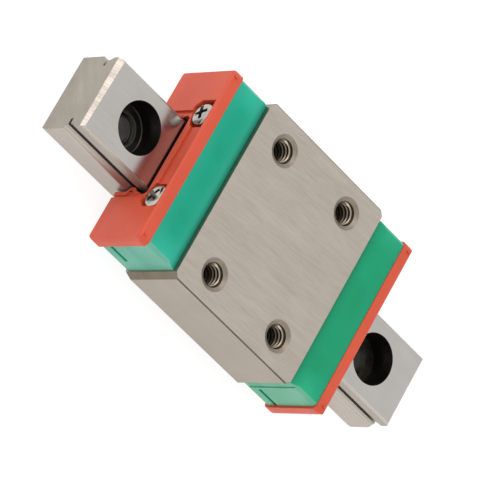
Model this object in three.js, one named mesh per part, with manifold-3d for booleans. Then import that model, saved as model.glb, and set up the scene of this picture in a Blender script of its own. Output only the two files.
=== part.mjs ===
// Miniature linear guide: a carriage with recirculating balls on a short length of profile rail.
// Millimetres, +Z up, +X along the rail. The origin lies on the rail's underside, on its centre line,
// halfway along the rail.
import * as THREE from "three";
import { mergeVertices } from "three/addons/utils/BufferGeometryUtils.js";
import Module from "manifold-3d";

// ---------------------------------------------------------------- driving dimensions
const HEIGHT = 8.0; // rail underside to carriage top
// rail
const RAIL_W = 7.0;
const RAIL_H = 5.1;
const RAIL_L = 39.2;
const RAIL_HEAD_W = 6.64; // above the ball groove
const RAIL_TOP_CHAMFER = 0.2;
const RAIL_BOTTOM_CHAMFER_LEFT = 0.25; // +Y edge
const RAIL_BOTTOM_CHAMFER_RIGHT = 0.62; // -Y edge
const RAIL_END_CHAMFER = 0.25;
const RAIL_FRONT_CHAMFER = [0.24, 0.48]; // top front edge, from the -Y side to the +Y side
const RAIL_PITCH = 15.0; // three holes, the middle one at the origin
const CBORE_D = 4.2;
const CBORE_DEPTH = 2.3;
const RAIL_HOLE_D = 2.4;
const RELIEF_W = 0.3; // wire relief at the bottom of the groove
const RELIEF_Y = 2.55;
const RELIEF_Z = 3.4;
// balls and raceways
const BALL_D = 1.588;
const GROOVE_R = 0.83;
const BALL_Y = 3.9; // loaded row
const BALL_Z = 3.55;
const RETURN_Y = 6.25; // return row
const RETURN_D = 1.75;
const BALLS_PER_CIRCUIT = 21;
const GUIDE_GAP = 0.03; // clearance round the inner half of a ball turn
// carriage
const CARRIAGE_X = -0.25; // its middle, at rest
const BLOCK_W = 17.0;
const BLOCK_L = 14.4;
const BLOCK_UNDERSIDE = 1.7;
const BLOCK_BOTTOM_CHAMFER = 0.6;
const BLOCK_TOP_CHAMFER = 0.15;
const BLOCK_CORNER_CHAMFER = 0.42;
const CHANNEL_W = 8.2;
const CHANNEL_TOP = 5.5;
const MOUNT_X = 8.0; // tapped hole spacing along the rail
const MOUNT_Y = 12.0; // tapped hole spacing across the rail
const TAP_D = 2.0;
const TAP_DEPTH = 2.5;
const TAP_CSK_D = 2.7;
const TAP_CSK_DEPTH = 0.2;
// end caps
const CAP_T = 3.35;
const CAP_W = 16.0;
const CAP_TOP = 7.82;
const CAP_BOTTOM = 1.8;
const CAP_CHANNEL_W = 8.2;
const CAP_BEVEL = 0.9; // band next to the steel
const CAP_BEVEL_DROP = 0.34;
// end seals
const SEAL_T = 0.72; // centre plate
const SEAL_WING_T = 1.08; // outer wings
const SEAL_RIM_T = 0.88; // rim round the rail
const SEAL_W = 16.4;
const SEAL_TOP = 7.86;
const SEAL_BOTTOM = 1.62;
const SEAL_GAP = 0.12; // over the rail and in its grooves
const SEAL_HEAD_GAP = 0.3; // beside the rail's head
const SEAL_STRIP = 0.13; // height of the strip along the top edge
const SEAL_EDGE = 0.1; // top edge broken
const SEAL_POCKET_FLOOR = 0.32; // thickness left under a screw head
// cap screws
const SCREW_Y = 4.0;
const SCREW_Z = 6.5;
const SCREW_D = 1.4;
const SCREW_HEAD_D = 2.1;
const SCREW_HEAD_H = 0.72;
const SCREW_BOTTOM_X = 4.9;
const SCREW_HOLE_D = 1.5;
const RECESS_W = 0.28; // cross recess
const RECESS_L = 1.3;
const RECESS_DEPTH = 0.42;
const SCREW_TURNS = { front_left: 20, front_right: -38, rear_left: 12, rear_right: 61 }; // degrees, as tightened
// ball retaining wires
const WIRE_D = 0.24;
const WIRE_Y = 2.82;
const WIRE_HOOK_X = 9.75;
const WIRE_HOOK_Y = 4.95;

const wasm = await Module();
wasm.setup();

// ---------------------------------------------------------------- helpers
function toSolid(geometry) {
  const g = (geometry.index ? geometry.toNonIndexed() : geometry.clone());
  g.deleteAttribute("normal");
  g.deleteAttribute("uv");
  const m = mergeVertices(g, 1e-4);
  return new wasm.Manifold(
    new wasm.Mesh({
      numProp: 3,
      vertProperties: new Float32Array(m.attributes.position.array),
      triVerts: new Uint32Array(m.index.array),
    }),
  );
}

function toGeometry(solid) {
  const m = solid.getMesh();
  const p = new Float32Array(m.numVert * 3);
  for (let i = 0; i < m.numVert; i++)
    p.set(m.vertProperties.subarray(i * m.numProp, i * m.numProp + 3), i * 3);
  const g = new THREE.BufferGeometry();
  g.setAttribute("position", new THREE.BufferAttribute(p, 3));
  g.setIndex(new THREE.BufferAttribute(new Uint32Array(m.triVerts), 1));
  const flat = g.toNonIndexed();
  flat.computeVertexNormals();
  return flat;
}

const ALONG_X = new THREE.Matrix4().makeBasis(
  new THREE.Vector3(0, 1, 0),
  new THREE.Vector3(0, 0, 1),
  new THREE.Vector3(1, 0, 0),
);

// a polygon in (y, z) pushed along X from x0 to x1
function prism(points, x0, x1) {
  const shape = new THREE.Shape(points.map(([y, z]) => new THREE.Vector2(y, z)));
  const g = new THREE.ExtrudeGeometry(shape, { depth: x1 - x0, bevelEnabled: false, steps: 1 });
  g.applyMatrix4(ALONG_X);
  g.translate(x0, 0, 0);
  return toSolid(g);
}

// a polygon in (x, z) pushed along Y from y0 to y1
function prismY(points, y0, y1) {
  const shape = new THREE.Shape(points.map(([x, z]) => new THREE.Vector2(x, z)));
  const g = new THREE.ExtrudeGeometry(shape, { depth: y1 - y0, bevelEnabled: false, steps: 1 });
  g.rotateX(Math.PI / 2);
  g.translate(0, y1, 0);
  return toSolid(g);
}

// a polygon in (x, y) pushed up from z0 to z1
function prismZ(points, z0, z1) {
  const shape = new THREE.Shape(points.map(([x, y]) => new THREE.Vector2(x, y)));
  const g = new THREE.ExtrudeGeometry(shape, { depth: z1 - z0, bevelEnabled: false, steps: 1 });
  g.translate(0, 0, z0);
  return toSolid(g);
}

function box(x0, x1, y0, y1, z0, z1) {
  const g = new THREE.BoxGeometry(x1 - x0, y1 - y0, z1 - z0);
  g.translate((x0 + x1) / 2, (y0 + y1) / 2, (z0 + z1) / 2);
  return toSolid(g);
}

// profile [r, h] turned about an axis: "x", "-x" or "z"; it starts and ends on the axis
function turned(profile, segments, axis, at) {
  const g = new THREE.LatheGeometry(
    profile.map(([r, h]) => new THREE.Vector2(r, h)),
    segments,
  );
  if (axis === "z") g.rotateX(Math.PI / 2);
  else if (axis === "x") g.rotateZ(-Math.PI / 2);
  else g.rotateZ(Math.PI / 2);
  g.translate(...at);
  return toSolid(g);
}

function bar(r, h0, h1, segments, axis, at) {
  return turned([[0, h0], [r, h0], [r, h1], [0, h1]], segments, axis, at);
}

const mirrored = (half) => [
  ...half,
  ...half.map(([y, z]) => [-y, z]).reverse(),
];

// points on an arc, angles in degrees
function arc(cy, cz, r, a0, a1, n) {
  const out = [];
  for (let i = 0; i <= n; i++) {
    const a = ((a0 + ((a1 - a0) * i) / n) * Math.PI) / 180;
    out.push([cy + r * Math.cos(a), cz + r * Math.sin(a)]);
  }
  return out;
}
const deg = (rad) => (rad * 180) / Math.PI;

const root = new THREE.Group();
root.name = "linear_guide_carriage";
const group = (name, parent, turned180 = false) => {
  const g = new THREE.Group();
  g.name = name;
  if (turned180) g.rotation.z = Math.PI;
  parent.add(g);
  return g;
};
const railGroup = group("rail", root);
const carriage = group("carriage", root);
carriage.position.x = CARRIAGE_X;
// the two ends of the carriage carry identical pieces, turned half round
const ends = { rear: group("rear_end", carriage), front: group("front_end", carriage, true) };

function add(parent, name, geometry, colour, metal, rough, at = [0, 0, 0], spin = 0) {
  const mesh = new THREE.Mesh(
    geometry,
    new THREE.MeshStandardMaterial({ color: colour, metalness: metal, roughness: rough }),
  );
  mesh.name = name;
  mesh.position.set(...at);
  mesh.rotation.x = spin;
  parent.add(mesh);
}

const STEEL = 0xb4aaa0;
const RAIL_STEEL = 0xb2aeaa;
const GREEN = 0x2ba584;
const RED = 0xcc5a44;
const NICKEL = 0xcfcdc8;
const CHROME = 0xd8d8d8;
const IVORY = 0xd9d2bd;

// ---------------------------------------------------------------- rail
{
  const w = RAIL_W / 2;
  const h = RAIL_HEAD_W / 2;
  const turn = (y, sign) => 180 - sign * deg(Math.acos((BALL_Y - y) / GROOVE_R));
  const at = (z) => 180 - deg(Math.asin((z - BALL_Z) / GROOVE_R));
  const z0 = RELIEF_Z - RELIEF_W / 2;
  const z1 = RELIEF_Z + RELIEF_W / 2;
  const half = (bottom) => [
    [w - bottom, 0],
    [w - 0.28 * bottom, 0.28 * bottom],
    [w, bottom],
    ...arc(BALL_Y, BALL_Z, GROOVE_R, turn(w, -1), at(z0), 4),
    [RELIEF_Y, z0],
    [RELIEF_Y, z1],
    ...arc(BALL_Y, BALL_Z, GROOVE_R, at(z1), turn(h, 1), 4),
    [h, RAIL_H - RAIL_TOP_CHAMFER],
    [h - RAIL_TOP_CHAMFER, RAIL_H],
  ];
  let rail = prism(
    [
      ...half(RAIL_BOTTOM_CHAMFER_LEFT),
      ...half(RAIL_BOTTOM_CHAMFER_RIGHT).map(([y, z]) => [-y, z]).reverse(),
    ],
    -RAIL_L / 2,
    RAIL_L / 2,
  );
  // chamfers across both ends: the front one is wider towards +Y
  const wedge = (x, out, zt, up, c0, c1) => {
    const v = [];
    for (const [y, c] of [[-5, c0], [5, c1]]) {
      v.push([x + out, y, zt - up * (c + 1)]);
      v.push([x - out * (c + 1), y, zt + up]);
      v.push([x + out, y, zt + up]);
    }
    const flip = out * up > 0;
    const tris = [[0, 1, 2], [3, 5, 4], [0, 3, 4], [0, 4, 1], [1, 4, 5], [1, 5, 2], [2, 5, 3], [2, 3, 0]];
    const p = [];
    for (const t of tris) for (const i of flip ? [t[0], t[2], t[1]] : t) p.push(...v[i]);
    const g = new THREE.BufferGeometry();
    g.setAttribute("position", new THREE.BufferAttribute(new Float32Array(p), 3));
    return toSolid(g);
  };
  const e = RAIL_END_CHAMFER;
  rail = rail.subtract(wedge(-RAIL_L / 2, -1, RAIL_H, 1, ...RAIL_FRONT_CHAMFER));
  rail = rail.subtract(wedge(RAIL_L / 2, 1, RAIL_H, 1, e, e));
  rail = rail.subtract(wedge(-RAIL_L / 2, -1, 0, -1, e, e));
  rail = rail.subtract(wedge(RAIL_L / 2, 1, 0, -1, e, e));
  for (const i of [-1, 0, 1]) {
    rail = rail.subtract(
      turned(
        [
          [0, -1],
          [RAIL_HOLE_D / 2, -1],
          [RAIL_HOLE_D / 2, RAIL_H - CBORE_DEPTH],
          [CBORE_D / 2, RAIL_H - CBORE_DEPTH],
          [CBORE_D / 2, RAIL_H - 0.04],
          [CBORE_D / 2 + 1.04, RAIL_H + 1],
          [0, RAIL_H + 1],
        ],
        32,
        "z",
        [i * RAIL_PITCH, 0, 0],
      ),
    );
  }
  add(railGroup, "guide_rail", toGeometry(rail), RAIL_STEEL, 0.9, 0.35);
}

// ---------------------------------------------------------------- carriage block
{
  const w = BLOCK_W / 2;
  const l = BLOCK_L / 2;
  const c = CHANNEL_W / 2;
  const open = deg(Math.asin(Math.sqrt(GROOVE_R ** 2 - (c - BALL_Y) ** 2) / GROOVE_R));
  const half = [
    [c + 0.2, BLOCK_UNDERSIDE],
    [w - BLOCK_BOTTOM_CHAMFER, BLOCK_UNDERSIDE],
    [w, BLOCK_UNDERSIDE + BLOCK_BOTTOM_CHAMFER],
    [w, HEIGHT - BLOCK_TOP_CHAMFER],
    [w - BLOCK_TOP_CHAMFER, HEIGHT],
  ];
  const channel = [
    [c, BLOCK_UNDERSIDE + 0.2],
    ...arc(BALL_Y, BALL_Z, GROOVE_R, -open, open, 8),
    [c, CHANNEL_TOP - 0.3],
    [c - 0.3, CHANNEL_TOP],
  ];
  const profile = [
    ...half,
    ...half.map(([y, z]) => [-y, z]).reverse(),
    ...channel.map(([y, z]) => [-y, z]),
    ...channel.slice().reverse(),
  ];
  let block = prism(profile, -l, l);
  for (const sx of [-1, 1])
    for (const sy of [-1, 1]) {
      const k = BLOCK_CORNER_CHAMFER;
      // vertical corner chamfer
      const tri = [
        [sx * (l + 1), sy * (w - k - 1)],
        [sx * (l + 1), sy * (w + 1)],
        [sx * (l - k - 1), sy * (w + 1)],
      ];
      block = block.subtract(prismZ(sx * sy > 0 ? tri : tri.slice().reverse(), 0, HEIGHT + 1));
      // tapped mounting hole, blind
      block = block.subtract(
        turned(
          [
            [0, HEIGHT - TAP_DEPTH - 0.35],
            [TAP_D / 2 - 0.2, HEIGHT - TAP_DEPTH],
            [TAP_D / 2, HEIGHT - TAP_DEPTH],
            [TAP_D / 2, HEIGHT - TAP_CSK_DEPTH],
            [TAP_CSK_D - TAP_D / 2, HEIGHT + TAP_CSK_DEPTH],
            [0, HEIGHT + TAP_CSK_DEPTH],
          ],
          24,
          "z",
          [(sx * MOUNT_X) / 2, (sy * MOUNT_Y) / 2, 0],
        ),
      );
      // cap screw hole, blind
      block = block.subtract(
        bar(SCREW_HOLE_D / 2, 0, 4, 16, sx > 0 ? "x" : "-x", [sx * (SCREW_BOTTOM_X - 0.4), sy * SCREW_Y, SCREW_Z]),
      );
    }
  for (const sy of [-1, 1])
    block = block.subtract(bar(RETURN_D / 2, -10, 10, 20, "x", [0, sy * RETURN_Y, BALL_Z]));
  add(carriage, "carriage_block", toGeometry(block), STEEL, 0.9, 0.42);
}

// ---------------------------------------------------------------- end cap (modelled for the rear end)
const U_R = (RETURN_Y - BALL_Y) / 2; // centre line of the ball turn
const U_Y = (RETURN_Y + BALL_Y) / 2;
const U_TUBE = RETURN_D / 2;
const CAP_X0 = BLOCK_L / 2;
const CAP_X1 = CAP_X0 + CAP_T;
const ySpan = (sy, a, b) => (sy > 0 ? [a, b] : [-b, -a]);
const ySide = (sy, points) => {
  const p = points.map(([y, z]) => [sy * y, z]);
  return sy > 0 ? p : p.reverse();
};

function endCap() {
  const w = CAP_W / 2;
  const c = CAP_CHANNEL_W / 2;
  const half = [
    [c, CAP_BOTTOM],
    ...arc(w - 0.45, CAP_BOTTOM + 0.45, 0.45, -90, 0, 3),
    ...arc(w - 0.4, CAP_TOP - 0.4, 0.4, 0, 90, 4),
  ];
  const channel = [
    [c, CHANNEL_TOP - 0.2],
    [c - 0.3, CHANNEL_TOP + 0.1],
  ];
  let cap = prism(
    [
      ...half,
      ...half.map(([y, z]) => [-y, z]).reverse(),
      ...channel.map(([y, z]) => [-y, z]),
      ...channel.slice().reverse(),
    ],
    CAP_X0,
    CAP_X1,
  );
  // bevelled band next to the steel
  cap = cap.subtract(
    prismY(
      [
        [CAP_X0 - 1, CAP_TOP - CAP_BEVEL_DROP * (1 + 1 / CAP_BEVEL)],
        [CAP_X0 + CAP_BEVEL * 2, CAP_TOP + CAP_BEVEL_DROP],
        [CAP_X0 - 1, CAP_TOP + CAP_BEVEL_DROP],
      ],
      -10,
      10,
    ),
  );
  for (const sy of [-1, 1]) {
    // narrow step down the side beside the steel
    cap = cap.subtract(box(CAP_X0 - 1, CAP_X0 + CAP_BEVEL, ...ySpan(sy, w - 0.07, w + 1), 0, HEIGHT + 1));
    // moulded slot along the side
    cap = cap.subtract(box(CAP_X0 + 1.2, CAP_X1 + 1, ...ySpan(sy, w - 0.35, w + 1), 2.92, 3.28));
    // screw clearance
    cap = cap.subtract(bar(SCREW_HOLE_D / 2, CAP_X0 - 1, CAP_X1 + 1, 16, "x", [0, sy * SCREW_Y, SCREW_Z]));
    // ball turn
    cap = cap.subtract(
      turned(
        [
          [0, -U_TUBE],
          [U_R, -U_TUBE],
          ...arc(U_R, 0, U_TUBE, -90, 90, 8).slice(1, -1),
          [U_R, U_TUBE],
          [0, U_TUBE],
        ],
        24,
        "z",
        [CAP_X0, sy * U_Y, BALL_Z],
      ),
    );
    // slot that takes the hook of the ball wire
    const r = WIRE_D / 2 + 0.08;
    cap = cap.subtract(
      box(WIRE_HOOK_X - r, WIRE_HOOK_X + r, ...ySpan(sy, c - 0.5, WIRE_HOOK_Y + 0.1), RELIEF_Z - r, RELIEF_Z + r),
    );
  }
  return toGeometry(cap);
}

// inner half of a ball turn: half a spool, flat side towards the steel, about its own axis
function returnGuide() {
  const top = U_TUBE - GUIDE_GAP;
  const waist = [];
  for (let i = 0; i <= 8; i++) {
    const h = (top * Math.sin(((-78 + (156 * i) / 8) * Math.PI) / 180)) / Math.sin((78 * Math.PI) / 180);
    waist.push([U_R - Math.sqrt(Math.max(0.03, U_TUBE ** 2 - h * h)), h]);
  }
  const spool = turned([[0, -top], ...waist, [0, top]], 20, "z", [0, 0, 0]);
  return toGeometry(spool.intersect(box(0, 3, -3, 3, -3, 3)));
}

// ---------------------------------------------------------------- end seal (modelled for the rear end)
function endSeal() {
  const w = SEAL_W / 2;
  const x0 = CAP_X1;
  const corner = [
    ...arc(w - 0.5, SEAL_BOTTOM + 0.5, 0.5, -90, 0, 3),
    ...arc(w - 0.45, SEAL_TOP - 0.45, 0.45, 0, 90, 3),
  ];
  const rw = RAIL_W / 2 + SEAL_GAP;
  const rh = RAIL_HEAD_W / 2 + SEAL_HEAD_GAP;
  const tooth = GROOVE_R - SEAL_GAP;
  const lo = deg(Math.asin(Math.sqrt(tooth ** 2 - (BALL_Y - rw) ** 2) / tooth));
  const hi = deg(Math.asin(Math.sqrt(tooth ** 2 - (BALL_Y - rh) ** 2) / tooth));
  const opening = mirrored([
    [rw, 0],
    ...arc(BALL_Y, BALL_Z, tooth, 180 + lo, 180 - hi, 7),
    [rh, RAIL_H - RAIL_TOP_CHAMFER + 0.05],
    [rh - 0.27, RAIL_H + SEAL_GAP],
  ]);
  let seal = prism(mirrored(corner), x0, x0 + SEAL_T);
  // rim round the rail
  const rim = mirrored([
    [rw + 0.55, SEAL_BOTTOM],
    [rw + 0.55, RAIL_H + 0.35],
    [rw + 0.05, RAIL_H + 0.8],
  ]);
  seal = seal.add(prism(rim, x0 + 0.1, x0 + SEAL_RIM_T));
  // raised wings
  for (const sy of [-1, 1]) {
    const wing = [[4.4, SEAL_BOTTOM], ...corner, [5.12, SEAL_TOP], [5.12, 6.25], [4.6, 5.75]];
    seal = seal.add(prism(ySide(sy, wing), x0 + 0.1, x0 + SEAL_WING_T));
  }
  // a raised strip along the top edge joins the wings
  seal = seal.add(box(x0 + 0.1, x0 + SEAL_WING_T, -5.3, 5.3, SEAL_TOP - SEAL_STRIP, SEAL_TOP));
  seal = seal.subtract(prism(opening, x0 - 1, x0 + 3));
  // outer top edge broken
  seal = seal.subtract(
    prismY(
      [
        [x0 + SEAL_WING_T + 1, SEAL_TOP + 1],
        [x0 + SEAL_WING_T + 1, SEAL_TOP - 1 - SEAL_EDGE],
        [x0 + SEAL_WING_T - 1 - SEAL_EDGE, SEAL_TOP + 1],
      ],
      -10,
      10,
    ),
  );
  for (const sy of [-1, 1]) {
    // screw pocket and hole
    const pocket = [
      [2.75, 5.75],
      [3.1, 5.4],
      [4.55, 5.4],
      [5.12, 5.97],
      [5.12, SEAL_TOP - SEAL_STRIP],
      [2.75, SEAL_TOP - SEAL_STRIP],
    ];
    seal = seal.subtract(prism(ySide(sy, pocket), x0 + SEAL_POCKET_FLOOR, x0 + 3));
    seal = seal.subtract(bar(SCREW_HOLE_D / 2, x0 - 1, x0 + 4, 16, "x", [0, sy * SCREW_Y, SCREW_Z]));
    // outer side edge broken
    const s = [
      [x0 + SEAL_WING_T - 3.0, sy * (w + 1)],
      [x0 + SEAL_WING_T + 2, sy * (w - 1)],
      [x0 + SEAL_WING_T + 2, sy * (w + 1)],
    ];
    seal = seal.subtract(prismZ(sy > 0 ? s : s.reverse(), 0, HEIGHT + 1));
  }
  return toGeometry(seal);
}

// ---------------------------------------------------------------- cap screw, along +X from its tip
const SCREW_LEN = CAP_X1 + SEAL_POCKET_FLOOR - SCREW_BOTTOM_X; // under the head
function capScrew() {
  const r = SCREW_D / 2;
  const head = SCREW_HEAD_D / 2;
  const l = SCREW_LEN;
  const top = l + SCREW_HEAD_H;
  const screw = turned(
    [
      [0, 0],
      [r - 0.15, 0],
      [r, 0.15],
      [r, l],
      [head - 0.03, l],
      [head, l + 0.05],
      [head, l + 0.42],
      [head - 0.12, l + 0.6],
      [head - 0.38, top],
      [0, top],
    ],
    20,
    "x",
    [0, 0, 0],
  );
  const k = RECESS_W / 2;
  const reach = RECESS_L / 2;
  const cross = box(top - RECESS_DEPTH, top + 1, -reach, reach, -k, k).add(
    box(top - RECESS_DEPTH, top + 1, -k, k, -reach, reach),
  );
  return toGeometry(screw.subtract(cross));
}

for (const [end, parent] of Object.entries(ends)) {
  add(parent, `${end}_end_cap`, endCap(), GREEN, 0.0, 0.45);
  add(parent, `${end}_end_seal`, endSeal(), RED, 0.0, 0.5);
  for (const sy of [-1, 1]) {
    const side = (end === "rear" ? sy : -sy) > 0 ? "left" : "right";
    add(parent, `${end}_return_guide_${side}`, returnGuide(), IVORY, 0.0, 0.5, [CAP_X0 + GUIDE_GAP, sy * U_Y, BALL_Z]);
    add(
      parent,
      `${end}_cap_screw_${side}`,
      capScrew(),
      NICKEL,
      1.0,
      0.25,
      [SCREW_BOTTOM_X, sy * SCREW_Y, SCREW_Z],
      (SCREW_TURNS[`${end}_${side}`] * Math.PI) / 180,
    );
  }
}

// ---------------------------------------------------------------- ball retaining wires
for (const [side, sy] of [["left", 1], ["right", -1]]) {
  const r = 0.35;
  const path = [[-WIRE_HOOK_X, WIRE_HOOK_Y]];
  const bend = (cx, cy, a0, a1) => {
    for (let i = 0; i <= 4; i++) {
      const a = ((a0 + ((a1 - a0) * i) / 4) * Math.PI) / 180;
      path.push([cx + r * Math.cos(a), cy + r * Math.sin(a)]);
    }
  };
  bend(-WIRE_HOOK_X + r, WIRE_Y + r, 180, 270);
  bend(WIRE_HOOK_X - r, WIRE_Y + r, 270, 360);
  path.push([WIRE_HOOK_X, WIRE_HOOK_Y]);
  const n = 8;
  const rings = path.map(([x, y], i) => {
    const a = path[Math.max(0, i - 1)];
    const b = path[Math.min(path.length - 1, i + 1)];
    const t = new THREE.Vector2(b[0] - a[0], b[1] - a[1]).normalize();
    const ring = [];
    for (let k = 0; k < n; k++) {
      const p = (2 * Math.PI * k) / n;
      const u = (WIRE_D / 2) * Math.cos(p);
      ring.push([x - t.y * u, sy * (y + t.x * u), RELIEF_Z + (WIRE_D / 2) * Math.sin(p)]);
    }
    return ring;
  });
  const p = [];
  const tri = (a, b, c) => (sy > 0 ? p.push(...a, ...b, ...c) : p.push(...a, ...c, ...b));
  for (let i = 0; i + 1 < rings.length; i++)
    for (let k = 0; k < n; k++) {
      const [a, b] = [rings[i][k], rings[i][(k + 1) % n]];
      const [c, d] = [rings[i + 1][k], rings[i + 1][(k + 1) % n]];
      tri(a, b, d);
      tri(a, d, c);
    }
  for (let k = 1; k + 1 < n; k++) {
    tri(rings[0][0], rings[0][k + 1], rings[0][k]);
    const e = rings[rings.length - 1];
    tri(e[0], e[k], e[k + 1]);
  }
  const g = new THREE.BufferGeometry();
  g.setAttribute("position", new THREE.BufferAttribute(new Float32Array(p), 3));
  g.computeVertexNormals();
  add(carriage, `ball_wire_${side}`, g, NICKEL, 1.0, 0.3);
}

// ---------------------------------------------------------------- balls
{
  const straight = BLOCK_L;
  const turn = Math.PI * U_R;
  const total = 2 * straight + 2 * turn;
  const l = BLOCK_L / 2;
  const at = (s0) => {
    let s = ((s0 % total) + total) % total;
    if (s < straight) return [-l + s, BALL_Y];
    s -= straight;
    if (s < turn) {
      const a = s / U_R;
      return [l + U_R * Math.sin(a), U_Y - U_R * Math.cos(a)];
    }
    s -= turn;
    if (s < straight) return [l - s, RETURN_Y];
    s -= straight;
    const a = s / U_R;
    return [-l - U_R * Math.sin(a), U_Y + U_R * Math.cos(a)];
  };
  // evenly spaced in a straight line from ball to ball, all the way round
  const lap = (step) => {
    const stops = [0.35];
    for (let i = 1; i <= BALLS_PER_CIRCUIT; i++) {
      const [px, py] = at(stops[i - 1]);
      let a = stops[i - 1];
      let b = a + 2 * step;
      for (let k = 0; k < 50; k++) {
        const m = (a + b) / 2;
        const [x, y] = at(m);
        if (Math.hypot(x - px, y - py) < step) a = m;
        else b = m;
      }
      stops.push(a);
    }
    return stops;
  };
  let lo = 1.0;
  let hi = 2.2;
  for (let k = 0; k < 50; k++) {
    const m = (lo + hi) / 2;
    if (lap(m)[BALLS_PER_CIRCUIT] - 0.35 < total) lo = m;
    else hi = m;
  }
  if (lo < BALL_D) throw new Error("the balls don't fit in their circuit");
  const stops = lap(lo);
  for (const [side, sy] of [["left", 1], ["right", -1]])
    for (let i = 0; i < BALLS_PER_CIRCUIT; i++) {
      const [x, y] = at(stops[i]);
      const ball = new THREE.IcosahedronGeometry(BALL_D / 2, 1);
      const number = String(i + 1).padStart(2, "0");
      add(carriage, `ball_${side}_${number}`, ball, CHROME, 1.0, 0.1, [x, sy * y, BALL_Z]);
    }
}

export default root;
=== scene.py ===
"""Looks for the miniature linear guide. Pieces are built here in millimetres, then scaled into the metres of the frame."""

import math

import bmesh
import bpy
from mathutils import Matrix, Vector


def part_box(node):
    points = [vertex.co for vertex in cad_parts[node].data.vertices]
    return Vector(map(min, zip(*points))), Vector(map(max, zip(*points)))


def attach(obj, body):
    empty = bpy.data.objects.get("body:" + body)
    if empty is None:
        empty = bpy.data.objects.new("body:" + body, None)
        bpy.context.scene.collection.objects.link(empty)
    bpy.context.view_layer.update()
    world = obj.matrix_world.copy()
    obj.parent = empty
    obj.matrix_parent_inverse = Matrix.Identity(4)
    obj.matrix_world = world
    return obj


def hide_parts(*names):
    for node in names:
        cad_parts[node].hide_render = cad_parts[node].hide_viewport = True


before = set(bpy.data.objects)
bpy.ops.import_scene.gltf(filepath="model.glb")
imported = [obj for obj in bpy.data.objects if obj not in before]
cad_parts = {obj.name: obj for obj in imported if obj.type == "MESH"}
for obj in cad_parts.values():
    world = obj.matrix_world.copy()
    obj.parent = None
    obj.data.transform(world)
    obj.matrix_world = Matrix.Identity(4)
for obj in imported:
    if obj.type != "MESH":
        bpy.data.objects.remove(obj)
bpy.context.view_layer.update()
scene = bpy.context.scene
MM = 0.001

# ------------------------------------------------------------------ sizes, in millimetres
CARRIAGE_X = -0.25
RAIL_L, RAIL_W, RAIL_H, RAIL_HEAD_W = 39.2, 7.0, 5.1, 6.64
RAIL_TOP_CHAMFER = 0.2
BALL_D, GROOVE_R, BALL_Y, BALL_Z, RETURN_Y, RETURN_D = 1.588, 0.83, 3.9, 3.55, 6.25, 1.75
RELIEF_W, RELIEF_Y, RELIEF_Z = 0.30, 2.55, 3.4
BLOCK_W, BLOCK_L, BLOCK_UNDERSIDE, HEIGHT = 17.0, 14.4, 1.7, 8.0
CHANNEL_W, CHANNEL_TOP = 8.2, 5.5
CAP_X0, CAP_X1 = 7.2, 10.55
CAP_W, CAP_TOP, CAP_BOTTOM = 16.0, 7.82, 1.8
CAP_BEVEL, CAP_BEVEL_DROP = 0.9, 0.34
SEAL_W, SEAL_TOP, SEAL_BOTTOM = 16.4, 7.86, 1.62
SEAL_T, SEAL_WING_T, SEAL_RIM_T, SEAL_GAP, POCKET_FLOOR = 0.72, 1.08, 0.88, 0.12, 0.32
SEAL_GAP_TOP, SEAL_HEAD_GAP, SEAL_STRIP = 0.12, 0.30, 0.27
SCREW_Y, SCREW_Z = 4.0, 6.5
WIRE_D, WIRE_Y, WIRE_HOOK_X, WIRE_HOOK_Y = 0.24, 2.82, 9.75, 4.95
SCREW_TURNS = {"front_left": 20, "front_right": -38, "rear_left": 12, "rear_right": 61}

# ------------------------------------------------------------------ mesh tools (1 unit = 1 mm until a piece is placed)


def link(name, me):
    ob = bpy.data.objects.new(name, me)
    scene.collection.objects.link(ob)
    return ob


def raw(verts, faces, name="work"):
    me = bpy.data.meshes.new(name)
    me.from_pydata([tuple(v) for v in verts], [], faces)
    bm = bmesh.new()
    bm.from_mesh(me)
    bmesh.ops.remove_doubles(bm, verts=bm.verts, dist=1e-6)
    bmesh.ops.recalc_face_normals(bm, faces=bm.faces)
    bm.to_mesh(me)
    bm.free()
    return link(name, me)


def prism(points, a, b, axis="x"):
    put = {
        "x": lambda u, v, t: (t, u, v),
        "y": lambda u, v, t: (u, t, v),
        "z": lambda u, v, t: (u, v, t),
    }[axis]
    n = len(points)
    verts = [put(u, v, a) for u, v in points] + [put(u, v, b) for u, v in points]
    faces = [list(range(n))[::-1], [i + n for i in range(n)]]
    faces += [[i, (i + 1) % n, (i + 1) % n + n, i + n] for i in range(n)]
    return raw(verts, faces)


def box(x0, x1, y0, y1, z0, z1):
    return prism([(x0, y0), (x1, y0), (x1, y1), (x0, y1)], z0, z1, "z")


def turned(profile, segments, axis="z", at=(0, 0, 0)):
    """profile of (radius, height), from the axis back to the axis"""
    verts, rows = [], []
    for r, h in profile:
        if r < 1e-9:
            rows.append([len(verts)])
            verts.append((0, 0, h))
        else:
            rows.append(list(range(len(verts), len(verts) + segments)))
            for k in range(segments):
                t = 2 * math.pi * (k + 0.5) / segments
                verts.append((r * math.cos(t), r * math.sin(t), h))
    faces = []
    for p, q in zip(rows, rows[1:]):
        for k in range(segments):
            k1 = (k + 1) % segments
            if len(p) == 1 and len(q) == 1:
                continue
            if len(p) == 1:
                faces.append([p[0], q[k], q[k1]])
            elif len(q) == 1:
                faces.append([p[k], q[0], p[k1]])
            else:
                faces.append([p[k], q[k], q[k1], p[k1]])
    turn = {
        "z": lambda x, y, z: (x, y, z),
        "x": lambda x, y, z: (z, x, y),
        "-x": lambda x, y, z: (-z, -x, y),
    }[axis]
    verts = [tuple(c + d for c, d in zip(turn(*v), at)) for v in verts]
    return raw(verts, faces)


def bar(r, h0, h1, segments, axis, at):
    return turned([(0, h0), (r, h0), (r, h1), (0, h1)], segments, axis, at)


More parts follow.
